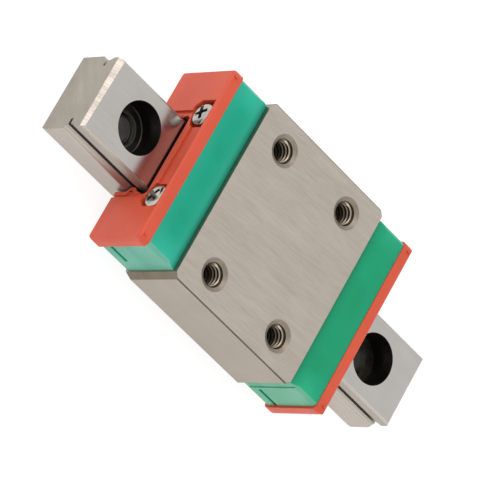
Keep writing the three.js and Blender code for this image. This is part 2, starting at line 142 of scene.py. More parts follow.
def bake(ob):
    """applies the modifiers"""
    bpy.context.view_layer.update()
    dg = bpy.context.evaluated_depsgraph_get()
    me = bpy.data.meshes.new_from_object(ob.evaluated_get(dg), preserve_all_data_layers=True, depsgraph=dg)
    old = ob.data
    ob.modifiers.clear()
    ob.data = me
    bpy.data.meshes.remove(old)
    return ob


def boolean(a, b, operation):
    m = a.modifiers.new("b", "BOOLEAN")
    m.operation = operation
    m.solver = "EXACT"
    m.object = b
    bake(a)
    old = b.data
    bpy.data.objects.remove(b)
    bpy.data.meshes.remove(old)
    return a


def cut(a, *others):
    for b in others:
        boolean(a, b, "DIFFERENCE")
    return a


def join(a, *others):
    for b in others:
        boolean(a, b, "UNION")
    return a


def common(a, b):
    return boolean(a, b, "INTERSECT")


def tidy(ob, angle=0.2):
    bm = bmesh.new()
    bm.from_mesh(ob.data)
    bmesh.ops.remove_doubles(bm, verts=bm.verts, dist=2e-4)
    bmesh.ops.dissolve_degenerate(bm, edges=bm.edges, dist=1e-4)
    bmesh.ops.dissolve_limit(
        bm, angle_limit=math.radians(angle), verts=bm.verts, edges=bm.edges, use_dissolve_boundaries=False
    )
    bmesh.ops.recalc_face_normals(bm, faces=bm.faces)
    bm.to_mesh(ob.data)
    bm.free()
    return ob


def soften(ob, width, segments=3, angle=28):
    """real rounded edges"""
    tidy(ob)
    m = ob.modifiers.new("edge", "BEVEL")
    m.limit_method = "ANGLE"
    m.angle_limit = math.radians(angle)
    m.width = width
    m.segments = segments
    m.use_clamp_overlap = False
    m.loop_slide = True
    m.miter_outer = "MITER_ARC"
    return bake(ob)


def slices(ob, axis, places):
    """extra edge loops, so that a long face keeps its own shading between its ends"""
    bm = bmesh.new()
    bm.from_mesh(ob.data)
    k = "xyz".index(axis)
    for t in places:
        co, no = [0, 0, 0], [0, 0, 0]
        co[k], no[k] = t, 1
        geom = bm.verts[:] + bm.edges[:] + bm.faces[:]
        bmesh.ops.bisect_plane(bm, geom=geom, dist=1e-5, plane_co=co, plane_no=no)
    bm.to_mesh(ob.data)
    bm.free()
    return ob


def finish(ob, smooth=32, weighted=True):
    """shading normals: flat faces stay flat, edges round"""
    me = ob.data
    for p in me.polygons:
        p.use_smooth = True
    me.set_sharp_from_angle(angle=math.radians(smooth))
    if weighted:
        m = ob.modifiers.new("wn", "WEIGHTED_NORMAL")
        m.keep_sharp = True
        m.weight = 80
        bake(ob)
    return ob


def paint(ob, materials, choose):
    """materials in slots; choose(centre, normal) gives the slot of each face, in millimetres"""
    ob.data.materials.clear()
    for mat in materials:
        ob.data.materials.append(mat)
    for p in ob.data.polygons:
        p.material_index = choose(p.center, p.normal)
    return ob


def place(ob, name, body, nodes, matrix=None):
    """into the frame, in metres, riding on its body"""
    ob.name = name
    ob.data.name = name
    m = Matrix.Scale(MM, 4)
    if matrix is not None:
        m = m @ matrix
    ob.data.transform(m)
    ob.matrix_world = Matrix.Identity(4)
    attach(ob, body)
    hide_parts(*nodes)
    return ob


def copy_of(ob):
    return link(ob.name + "_copy", ob.data.copy())


def arc(cy, cz, r, a0, a1, n):
    out = []
    for i in range(n + 1):
        a = math.radians(a0 + (a1 - a0) * i / n)
        out.append((cy + r * math.cos(a), cz + r * math.sin(a)))
    return out


def deg(x):
    return x * 180 / math.pi


def mirrored(half):
    return list(half) + [(-y, z) for y, z in reversed(half)]


def side(sy, points):
    return [(sy * y, z) for y, z in points]


def span(sy, a, b):
    return (a, b) if sy > 0 else (-b, -a)


REAR = Matrix.Translation((CARRIAGE_X, 0, 0))
FRONT = Matrix.Translation((CARRIAGE_X, 0, 0)) @ Matrix.Rotation(math.pi, 4, "Z")
ENDS = {"rear": REAR, "front": FRONT}

# ------------------------------------------------------------------ materials


class Nodes:
    """a small helper for writing node trees"""

    def __init__(self, name):
        self.mat = bpy.data.materials.new(name)
        self.mat.use_nodes = True
        self.t = self.mat.node_tree
        self.bsdf = self.t.nodes["Principled BSDF"]

    def new(self, kind, **sets):
        n = self.t.nodes.new(kind)
        for k, v in sets.items():
            setattr(n, k, v)
        return n

    def wire(self, a, b):
        self.t.links.new(a, b)

    def coords(self, scale, turn=(0, 0, 0)):
        """the object's own coordinates in millimetres, divided by the size given for each axis"""
        c = self.new("ShaderNodeTexCoord")
        r = self.new("ShaderNodeMapping", vector_type="POINT")
        r.inputs["Rotation"].default_value = turn
        m = self.new("ShaderNodeMapping", vector_type="POINT")
        m.inputs["Scale"].default_value = [1000.0 / s for s in scale]
        self.wire(c.outputs["Object"], r.inputs["Vector"])
        self.wire(r.outputs["Vector"], m.inputs["Vector"])
        return m.outputs["Vector"]

    def noise(self, vector, detail=3.0, rough=0.55, distortion=0.0, scale=1.0):
        n = self.new("ShaderNodeTexNoise")
        n.inputs["Scale"].default_value = scale
        n.inputs["Detail"].default_value = detail
        n.inputs["Roughness"].default_value = rough
        n.inputs["Distortion"].default_value = distortion
        self.wire(vector, n.inputs["Vector"])
        return n.outputs["Fac"]

    def ramp(self, fac, stops):
        n = self.new("ShaderNodeValToRGB")
        e = n.color_ramp.elements
        while len(e) < len(stops):
            e.new(0.5)
        for k, (p, c) in zip(e, stops):
            k.position = p
            k.color = (c, c, c, 1) if isinstance(c, (int, float)) else (*c, 1)
        self.wire(fac, n.inputs["Fac"])
        return n.outputs["Color"]

    def range(self, fac, lo, hi, a=0.3, b=0.7):
        n = self.new("ShaderNodeMapRange")
        n.inputs["From Min"].default_value = a
        n.inputs["From Max"].default_value = b
        n.inputs["To Min"].default_value = lo
        n.inputs["To Max"].default_value = hi
        self.wire(fac, n.inputs["Value"])
        return n.outputs["Result"]

    def math(self, op, a, b):
        n = self.new("ShaderNodeMath", operation=op)
        for k, v in enumerate((a, b)):
            if isinstance(v, (int, float)):
                n.inputs[k].default_value = v
            else:
                self.wire(v, n.inputs[k])
        return n.outputs["Value"]

    def mix(self, fac, a, b, mode="MIX"):
        n = self.new("ShaderNodeMix", data_type="RGBA", blend_type=mode)
        for key, v in (("Factor", fac), ("A", a), ("B", b)):
            s = n.inputs[0] if key == "Factor" else n.inputs[6 if key == "A" else 7]
            if isinstance(v, (int, float)):
                s.default_value = v
            elif isinstance(v, tuple):
                s.default_value = (*v, 1)
            else:
                self.wire(v, s)
        return n.outputs[2]

    def bump(self, height, strength, distance_mm, normal=None):
        n = self.new("ShaderNodeBump")
        n.inputs["Strength"].default_value = strength
        n.inputs["Distance"].default_value = distance_mm * MM
        self.wire(height, n.inputs["Height"])
        if normal is not None:
            self.wire(normal, n.inputs["Normal"])
        return n.outputs["Normal"]

    def done(self, color=None, rough=None, normal=None, **sockets):
        b = self.bsdf
        for key, v in (("Base Color", color), ("Roughness", rough)):
            if v is None:
                continue
            if isinstance(v, (int, float)):
                b.inputs[key].default_value = v
            elif isinstance(v, tuple):
                b.inputs[key].default_value = (*v, 1)
            else:
                self.wire(v, b.inputs[key])
        if normal is not None:
            self.wire(normal, b.inputs["Normal"])
        for key, v in sockets.items():
            b.inputs[key.replace("_", " ")].default_value = v
        return self.mat


def tint(c, k):
    return tuple(min(1.0, x * k) for x in c)


def steel(name, base, rough, grain, turn=(0, 0, 0), streak=0.10, bump=0.002, blotch=0.05, rough_var=0.06):
    """ground steel: lines along the grain, with a faint cloudiness"""
    n = Nodes(name)
    fine = n.noise(n.coords(grain, turn), 4.0, 0.62)
    wide = n.noise(n.coords([g * 5 for g in grain], turn), 2.0, 0.5)
    cloud = n.noise(n.coords((3.0, 3.0, 3.0)), 2.0, 0.5)
    lines = n.math("ADD", n.math("MULTIPLY", fine, 0.68), n.math("MULTIPLY", wide, 0.32))
    c = n.ramp(lines, [(0.30, tint(base, 1 - streak)), (0.5, base), (0.70, tint(base, 1 + streak))])
    c = n.mix(n.range(cloud, 0.0, 1.0, 0.3, 0.7), c, n.mix(1.0, c, tint((1, 1, 1), 1 - blotch), "MULTIPLY"))
    r = n.range(fine, rough - rough_var, rough + rough_var, 0.3, 0.7)
    nrm = n.bump(lines, 0.6, bump)
    return n.done(c, r, nrm, Metallic=1.0)


def plastic(name, base, shade, rough, radius, weight, mottle=0.06, spec=0.5, glow_and_shade=None):
    """moulded plastic: faint flow marks, slightly uneven gloss, light passing a little way in"""
    n = Nodes(name)
    flow = n.noise(n.coords((4.0, 4.0, 2.2)), 3.0, 0.5, 0.6)
    grain = n.noise(n.coords((0.09, 0.09, 0.09)), 3.0, 0.6)
    c = n.ramp(flow, [(0.3, shade), (0.7, base)])
    c = n.mix(n.range(grain, 0.0, mottle, 0.3, 0.7), c, (1.0, 1.0, 1.0))
    if glow_and_shade is not None:
        # painted light: paler towards the moulding's two ends (a painted glow), darker beside the steel and beside the
        # seal (painted shade)
        t = n.new("ShaderNodeTexCoord")
        x = n.new("ShaderNodeSeparateXYZ")
        n.wire(t.outputs["Object"], x.inputs["Vector"])
        across = n.math("ABSOLUTE", x.outputs["Y"], 0.0)
        along = n.math("ABSOLUTE", n.math("SUBTRACT", x.outputs["X"], CARRIAGE_X * MM), 0.0)
        painted_glow = n.math("MULTIPLY", n.range(across, 0.0, 1.0, 0.0058, 0.0080), n.range(flow, 0.6, 1.0, 0.3, 0.7))
        dark = n.range(along, 1.0, 0.0, 0.0072, 0.0088)
        seal_shade = n.range(along, 0.0, 0.6, 0.0094, 0.0106)
        c = n.mix(painted_glow, c, glow_and_shade[0])
        c = n.mix(n.math("MULTIPLY", dark, 0.9), c, glow_and_shade[1])
        c = n.mix(seal_shade, c, glow_and_shade[1])
    r = n.range(grain, rough - 0.05, rough + 0.07, 0.25, 0.75)
    return n.done(
        c,
        r,
        n.bump(grain, 0.35, 0.004),
        Subsurface_Weight=weight,
        Subsurface_Radius=radius,
        Subsurface_Scale=MM,
        Specular_IOR_Level=spec,
    )


RAIL_GROUND = steel("rail_ground", (0.455, 0.435, 0.412), 0.21, (6.0, 0.09, 0.09), streak=0.05, bump=0.0008, blotch=0.06, rough_var=0.05)
RAIL_GROOVE = steel("rail_groove", (0.40, 0.365, 0.325), 0.42, (6.0, 0.05, 0.05), streak=0.06, bump=0.0008, blotch=0.06)
RAIL_END = steel("rail_end_face", (0.380, 0.345, 0.295), 0.42, (0.10, 1.6, 0.11), turn=(0.62, 0, 0), streak=0.14, bump=0.004, blotch=0.14)
RAIL_BAND = steel("rail_end_chamfer", (0.53, 0.47, 0.42), 0.42, (1.2, 0.13, 1.2), streak=0.42, bump=0.012, blotch=0.05)
RAIL_SIDE = steel("rail_lower_side", (0.485, 0.435, 0.385), 0.38, (3.0, 0.10, 0.10), streak=0.07, bump=0.0012, blotch=0.10)
# near-black steel for the hole interiors: dark scale and painted shade in the holes
OXIDE_AND_SHADE = steel("hole_oxide_and_shade", (0.058, 0.056, 0.046), 0.40, (0.5, 0.5, 0.06), streak=0.45, bump=0.006, blotch=0.2)
SHADE = steel("shaded_steel", (0.050, 0.040, 0.026), 0.45, (0.3, 0.3, 0.06), streak=0.3, bump=0.004, blotch=0.2)
BLOCK_TOP = steel("block_ground", (0.443, 0.393, 0.344), 0.37, (1.7, 0.17, 0.3), turn=(0, 0, math.radians(-3.6)), streak=0.13, bump=0.0020, blotch=0.05)
BLOCK_SIDE = steel("block_side", (0.405, 0.352, 0.300), 0.42, (1.4, 0.3, 0.12), streak=0.06, bump=0.0016, blotch=0.07)
# darker copies of the block steel for the chamfers and the top long edges: painted shade
BLOCK_CHAMFER_SHADE = steel("block_chamfer_shade", (0.225, 0.190, 0.140), 0.45, (0.6, 0.15, 0.15), streak=0.2, bump=0.004, blotch=0.1)
BLOCK_EDGE_SHADE = steel("block_edge_shade", (0.150, 0.118, 0.085), 0.45, (0.9, 0.1, 0.1), streak=0.45, bump=0.003, blotch=0.2)
# a darker, browner copy of the block steel for the countersinks: painted shade
COUNTERSINK_SHADE = steel("countersink", (0.315, 0.265, 0.212), 0.44, (0.35, 0.35, 0.03), streak=0.25, bump=0.004, blotch=0.14)
# the front cap's green is painted lighter and bluer than the rear one's, as painted light and shade; the last pair of
# colours in each is the painted glow and the painted shade
GREEN_FRONT_LIT = plastic("green_front", (0.001, 0.345, 0.225), (0.001, 0.300, 0.185), 0.34, (0.5, 1.0, 0.7), 0.25, 0.004, 0.18, ((0.030, 0.460, 0.330), (0.020, 0.350, 0.235)))
GREEN_REAR_SHADED = plastic("green_rear", (0.001, 0.320, 0.155), (0.001, 0.270, 0.120), 0.34, (0.5, 1.0, 0.7), 0.25, 0.004, 0.18, ((0.020, 0.430, 0.240), (0.010, 0.290, 0.145)))
# side faces and the rounded fold get a paler green: a painted sheen where the light grazes them
GREEN_FRONT_SHEEN = plastic("green_front_side", (0.120, 0.420, 0.300), (0.050, 0.350, 0.240), 0.42, (0.5, 1.0, 0.7), 0.25, 0.02, 0.5)
GREEN_REAR_SHEEN = plastic("green_rear_side", (0.130, 0.420, 0.260), (0.050, 0.350, 0.200), 0.42, (0.5, 1.0, 0.7), 0.25, 0.02, 0.5)
RED = plastic("red_elastomer", (0.640, 0.078, 0.030), (0.570, 0.064, 0.024), 0.38, (1.0, 0.35, 0.2), 0.15, 0.008, 0.34)
# near-black red inside the seal's rail opening: painted shade under the lip
RED_LIP_SHADE = plastic("red_lip_shade", (0.090, 0.010, 0.006), (0.060, 0.007, 0.005), 0.30, (1.0, 0.35, 0.2), 0.0, 0.004, 0.4)
IVORY = plastic("guide_plastic", (0.75, 0.70, 0.56), (0.70, 0.64, 0.50), 0.45, (1.0, 0.9, 0.6), 0.1)
NICKEL = steel("nickel_plate", (0.52, 0.50, 0.455), 0.16, (0.5, 0.5, 0.5), streak=0.28, bump=0.045, blotch=0.15, rough_var=0.04)
# dark steel for the screws' cross recess: painted shade
RECESS_SHADE = steel("screw_recess_shade", (0.20, 0.185, 0.16), 0.28, (0.2, 0.2, 0.2), streak=0.3, bump=0.004, blotch=0.2)
CHROME = steel("ball_chrome", (0.62, 0.62, 0.62), 0.06, (0.5, 0.5, 0.5), streak=0.02, bump=0.0003, blotch=0.02, rough_var=0.02)
WIRE = steel("drawn_wire", (0.52, 0.52, 0.51), 0.22, (2.0, 0.04, 0.04), streak=0.08, bump=0.001)


def thread_steel_depth_shade():
    """bright at the mouth of the hole, painted darker further down: painted shade in the depth of the hole"""
    n = Nodes("thread_steel_depth_shade")
    c = n.new("ShaderNodeTexCoord")
    z = n.new("ShaderNodeSeparateXYZ")
    n.wire(c.outputs["Object"], z.inputs["Vector"])
    depth = n.range(z.outputs["Z"], 0.0, 1.0, 0.0064, 0.0078)
    cloud = n.noise(n.coords((0.35, 0.35, 0.2)), 3.0, 0.6)
    depth = n.math("ADD", depth, n.math("MULTIPLY", n.math("SUBTRACT", cloud, 0.5), 0.35))
    base = n.ramp(depth, [(0.0, (0.020, 0.017, 0.012)), (0.4, (0.16, 0.13, 0.09)), (1.0, (0.47, 0.40, 0.32))])
    return n.done(base, 0.34, n.bump(n.noise(n.coords((0.06, 0.06, 0.06))), 0.3, 0.003), Metallic=1.0)


THREAD = thread_steel_depth_shade()

# ------------------------------------------------------------------ rail


def make_rail():
    w, h, l = RAIL_W / 2, RAIL_HEAD_W / 2, RAIL_L / 2
    turn = lambda y, s: 180 - s * deg(math.acos((BALL_Y - y) / GROOVE_R))
    at = lambda z: 180 - deg(math.asin((z - BALL_Z) / GROOVE_R))
    z0, z1 = RELIEF_Z - RELIEF_W / 2, RELIEF_Z + RELIEF_W / 2

    def half(bottom):
        return [
            (w - bottom, 0),
            (w - 0.28 * bottom, 0.28 * bottom),
            (w, bottom),
            *arc(BALL_Y, BALL_Z, GROOVE_R, turn(w, -1), at(z0), 9),
            (RELIEF_Y + 0.05, z0),
            (RELIEF_Y, z0 + 0.05),
            (RELIEF_Y, z1 - 0.05),
            (RELIEF_Y + 0.05, z1),
            *arc(BALL_Y, BALL_Z, GROOVE_R, at(z1), turn(h, 1), 9),
            (h, RAIL_H - RAIL_TOP_CHAMFER),
            (h - RAIL_TOP_CHAMFER, RAIL_H),
        ]

    rail = prism(half(0.25) + [(-y, z) for y, z in reversed(half(0.62))], -l, l)

    def wedge(x, out, zt, up, c0, c1):
        v = []
        for y, c in ((-5, c0), (5, c1)):
            v.append((x + out, y, zt - up * (c + 1)))
            v.append((x - out * (c + 1), y, zt + up))
            v.append((x + out, y, zt + up))
        return raw(v, [[0, 1, 2], [3, 5, 4], [0, 3, 4, 1], [1, 4, 5, 2], [2, 5, 3, 0]])

    e = 0.25
    cut(
        rail,
        wedge(-l, -1, RAIL_H, 1, 0.24, 0.48),
        wedge(l, 1, RAIL_H, 1, e, e),
        wedge(-l, -1, 0, -1, e, e),
        wedge(l, 1, 0, -1, e, e),
    )
    soften(rail, 0.035, 2)
    for i in (-1, 0, 1):
        z = RAIL_H - 2.3
        prof = [
            (0, -1),
            (1.26, -1),
            (1.26, 0),
            (1.2, 0.06),
            (1.2, z - 0.5),
            (1.13, z - 0.47),
            (1.13, z - 0.36),
            (1.2, z - 0.33),
            (1.2, z - 0.12),
            (1.3, z - 0.02),
            (1.46, z),
            (1.50, z + 0.025),
            (1.62, z + 0.025),
            (1.66, z),
            (1.84, z),
            (1.88, z + 0.02),
            (1.98, z + 0.02),
            (2.02, z),
            (2.1, z + 0.07),
            (2.1, RAIL_H - 0.05),
            (2.115, RAIL_H - 0.02),
            (2.14, RAIL_H),
            (2.14, RAIL_H + 1),
            (0, RAIL_H + 1),
        ]
        if i > 0:
            prof = prof[:4] + [(1.2, z - 0.06), (1.26, z)] + prof[18:]
        cut(rail, turned(prof, 96, "z", (15.0 * i, 0, 0)))
    tidy(rail, 0.05)

    def choose(c, n):
        for i in (-1, 0, 1):
            if (c.x - 15 * i) ** 2 + c.y**2 < 2.16**2 and c.z < RAIL_H - 0.004 and (abs(n.z) < 0.999 or 0.05 < c.z):
                return 4
        if abs(n.x) > 0.9:
            return 1
        if abs(n.x) > 0.3 and n.z > 0.3:
            return 2
        if c.z < 2.86:
            return 3
        if c.z < RAIL_H - 0.03 and abs(c.y) > 2.4:
            return 5
        return 0

    # the counterbores take the near-black steel, dark scale and painted shade
    paint(rail, [RAIL_GROUND, RAIL_END, RAIL_BAND, RAIL_SIDE, OXIDE_AND_SHADE, RAIL_GROOVE], choose)
    finish(rail)
    place(rail, "rail_profile", "rail", ["guide_rail"])


# ------------------------------------------------------------------ carriage block


def thread_cutter(x, y, z_bottom, z_top):
    """the solid of an M2 coarse thread: what a tap leaves open"""
    pitch, major, minor = 0.4, 1.0, 0.79
    form = [(0.0, minor), (0.09, minor), (0.15, 0.885), (0.215, major - 0.01), (0.235, major), (0.275, major), (0.295, major - 0.01)]
    n, k = 60, len(form)
    turns = int(math.ceil((z_top - z_bottom) / pitch)) + 1
    rows = turns * k + 1
    verts, faces = [], []
    for i in range(n):
        a = 2 * math.pi * i / n
        for j in range(rows + k):
            d, r = form[j % k]
            verts.append((x + r * math.cos(a), y + r * math.sin(a), z_bottom + pitch * (j // k - 1) + d + pitch * i / n))
    m = rows + k
    for i in range(n):
        i1 = (i + 1) % n
        s = k if i == n - 1 else 0  # one pitch further at the seam
        for j in range(rows - 1):
            faces.append([i * m + j, i1 * m + j + s, i1 * m + j + 1 + s, i * m + j + 1])
    lo, hi = len(verts), len(verts) + 1
    verts += [(x, y, z_bottom - pitch / 2), (x, y, z_bottom + pitch * (rows // k) + 0.0)]
    loop0 = [i * m for i in range(n)] + [j for j in range(k, 0, -1)]
    loop1 = [i * m + rows - 1 for i in range(n)] + [rows - 1 + j for j in range(k, 0, -1)]
    for a, b in zip(loop0, loop0[1:] + loop0[:1]):
        faces.append([a, b, lo])
    for a, b in zip(loop1, loop1[1:] + loop1[:1]):
        faces.append([b, a, hi])
    used = sorted(set(v for f in faces for v in f))
    index = {v: t for t, v in enumerate(used)}
    return raw([verts[v] for v in used], [[index[v] for v in f] for f in faces])


def make_block():
    w, l, c = BLOCK_W / 2, BLOCK_L / 2, CHANNEL_W / 2
    opening = deg(math.asin(math.sqrt(GROOVE_R**2 - (c - BALL_Y) ** 2) / GROOVE_R))
    half = [
        (c + 0.2, BLOCK_UNDERSIDE),
        (w - 0.6, BLOCK_UNDERSIDE),
        (w, BLOCK_UNDERSIDE + 0.6),
        (w, HEIGHT - 0.07),
        (w - 0.07, HEIGHT),
    ]
    channel = [
        (c, BLOCK_UNDERSIDE + 0.2),
        *arc(BALL_Y, BALL_Z, GROOVE_R, -opening, opening, 18),
        (c, CHANNEL_TOP - 0.3),
        (c - 0.3, CHANNEL_TOP),
    ]
    profile = mirrored(half) + [(-y, z) for y, z in channel] + list(reversed(channel))
    block = prism(profile, -l, l)
    k = 0.42
    for sx in (-1, 1):
        for sy in (-1, 1):
            tri = [(sx * (l + 1), sy * (w - k - 1)), (sx * (l + 1), sy * (w + 1)), (sx * (l - k - 1), sy * (w + 1))]
            cut(block, prism(tri, 0, 9, "z"))
    soften(block, 0.03, 2)
    for sx in (-1, 1):
        for sy in (-1, 1):
            x, y = sx * 4.0, sy * 6.0
            cut(
                block,
                turned(
                    [
                        (0, 5.0),
                        (0.79, 5.45),
                        (0.79, 7.56),
                        (0.98, 7.77),
                        (1.0, 7.80),
                        (1.325, 7.985),
                        (1.345, 8.0),
                        (1.345, 8.5),
                        (0, 8.5),
                    ],
                    72,
                    "z",
                    (x, y, 0),
                ),
            )
            cut(block, thread_cutter(x, y, 5.82, 7.95))
            cut(
                block,
                turned(
                    [(0, 0), (0.68, 0.3), (0.7, 0.3), (0.7, 2.1), (0.8, 2.2), (0.8, 4), (0, 4)],
                    32,
                    "x" if sx > 0 else "-x",
                    (sx * 5.1, sy * SCREW_Y, SCREW_Z),
                ),
            )
    for sy in (-1, 1):
        cut(block, bar(RETURN_D / 2, -10, 10, 40, "x", (0, sy * RETURN_Y, BALL_Z)))
    tidy(block, 0.05)

    def choose(c, n):
        for sx in (-1, 1):
            for sy in (-1, 1):
                d = math.hypot(c.x - 4 * sx, c.y - 6 * sy)
                if d < 1.36 and 4.9 < c.z < 7.999 and n.z < 0.9999:
                    # the countersink takes the darker painted-shade steel, the thread roots the shaded steel
                    if c.z > 7.80 and d > 1.0:
                        return 3
                    return 6 if d > 0.90 else 5
                if math.hypot(c.y - sy * SCREW_Y, c.z - SCREW_Z) < 0.84 and abs(c.x) < l - 0.01 and abs(c.x) > 4.9:
                    return 4
        if n.z > 0.98:
            return 0
        if abs(n.y) > 0.98 and abs(c.y) > 8:
            return 1
        # the top long edges and the side chamfers are painted darker: painted shade
        if abs(c.y) > 8.35 and c.z > 7.8 and abs(n.x) < 0.3:
            return 7
        if abs(c.y) > 7.7:
            return 2
        if abs(n.x) > 0.9:
            return 1
        return 1

    paint(block, [BLOCK_TOP, BLOCK_SIDE, BLOCK_CHAMFER_SHADE, COUNTERSINK_SHADE, OXIDE_AND_SHADE, THREAD, SHADE, BLOCK_EDGE_SHADE], choose)
    finish(block)
    place(block, "block_body", "carriage", ["carriage_block"], REAR)


# ------------------------------------------------------------------ end caps
U_R = (RETURN_Y - BALL_Y) / 2
U_Y = (RETURN_Y + BALL_Y) / 2
U_TUBE = RETURN_D / 2


def make_caps():
    w, c = CAP_W / 2, CHANNEL_W / 2
    half = [
        (c, CAP_BOTTOM),
        *arc(w - 0.45, CAP_BOTTOM + 0.45, 0.45, -90, 0, 8),
        *arc(w - 0.36, CAP_TOP - 0.36, 0.36, 0, 90, 8),
    ]
    channel = [(c, CHANNEL_TOP - 0.2), (c - 0.3, CHANNEL_TOP + 0.1)]
    cap = prism(mirrored(half) + [(-y, z) for y, z in channel] + list(reversed(channel)), CAP_X0, CAP_X1)
    for sy in (-1, 1):
        cut(cap, box(CAP_X0 + 1.2, CAP_X1 + 1, *span(sy, w - 0.35, w + 1), 2.92, 3.28))
    soften(cap, 0.05, 3)
    for sy in (-1, 1):
        cut(cap, bar(0.75, CAP_X0 - 1, CAP_X1 + 1, 40, "x", (0, sy * SCREW_Y, SCREW_Z)))
        cut(
            cap,
            turned(
                [(0, -U_TUBE), (U_R, -U_TUBE), *arc(U_R, 0, U_TUBE, -90, 90, 20)[1:-1], (U_R, U_TUBE), (0, U_TUBE)],
                64,
                "z",
                (CAP_X0, sy * U_Y, BALL_Z),
            ),
        )
        r = WIRE_D / 2 + 0.08
        cut(cap, box(WIRE_HOOK_X - r, WIRE_HOOK_X + r, *span(sy, c - 0.5, WIRE_HOOK_Y + 0.1), RELIEF_Z - r, RELIEF_Z + r))
    d = CAP_BEVEL_DROP
    crown = [(CAP_X0 - 1, CAP_TOP - d - 0.02)]
    for i in range(9):
        t = i / 8
        crown.append((CAP_X0 + (CAP_BEVEL + 0.25) * t, CAP_TOP - d * (1 - t) ** 1.8))
    crown[-1] = (CAP_X0 + CAP_BEVEL + 0.25, CAP_TOP + 0.002)
    cut(cap, prism(crown + [(CAP_X0 + CAP_BEVEL + 0.25, CAP_TOP + 1), (CAP_X0 - 1, CAP_TOP + 1)], -10, 10, "y"))
    for sy in (-1, 1):
        cut(cap, box(CAP_X0 - 1, CAP_X0 + CAP_BEVEL, *span(sy, w - 0.07, w + 1), 0, 9))
    tidy(cap, 0.05)
    slices(cap, "x", [CAP_X0 + CAP_BEVEL + 0.3, CAP_X1 - 0.12])
    slices(cap, "y", [-7.5, -4.6, 4.6, 7.5])
    for end, m in ENDS.items():
        ob = copy_of(cap)
        greens = [GREEN_FRONT_LIT, GREEN_FRONT_SHEEN] if end == "front" else [GREEN_REAR_SHADED, GREEN_REAR_SHEEN]
        # side faces and the fold take the paler green, a painted sheen
        paint(ob, greens, lambda c, n: 1 if abs(n.y) > 0.22 and abs(c.y) > 7 else 0)
        finish(ob)
        place(ob, f"{end}_cap_moulding", "carriage", [f"{end}_end_cap"], m)
    bpy.data.objects.remove(cap)


def make_guides():
    top = U_TUBE - 0.03
    waist = []
    for i in range(17):
        h = top * math.sin(math.radians(-78 + 156 * i / 16)) / math.sin(math.radians(78))
        waist.append((U_R - math.sqrt(max(0.03, U_TUBE**2 - h * h)), h))
    spool = turned([(0, -top), *waist, (0, top)], 64)
    spool = common(spool, box(0, 3, -3, 3, -3, 3))
    tidy(spool, 0.05)
    for end, m in ENDS.items():
        for sy in (-1, 1):
            which = "left" if (sy if end == "rear" else -sy) > 0 else "right"
            ob = copy_of(spool)
            paint(ob, [IVORY], lambda c, n: 0)
            finish(ob)
            place(
                ob,
                f"{end}_turn_guide_{which}",
                "carriage",
                [f"{end}_return_guide_{which}"],
                m @ Matrix.Translation((CAP_X0 + 0.03, sy * U_Y, BALL_Z)),
            )
    bpy.data.objects.remove(spool)


# ------------------------------------------------------------------ end seals


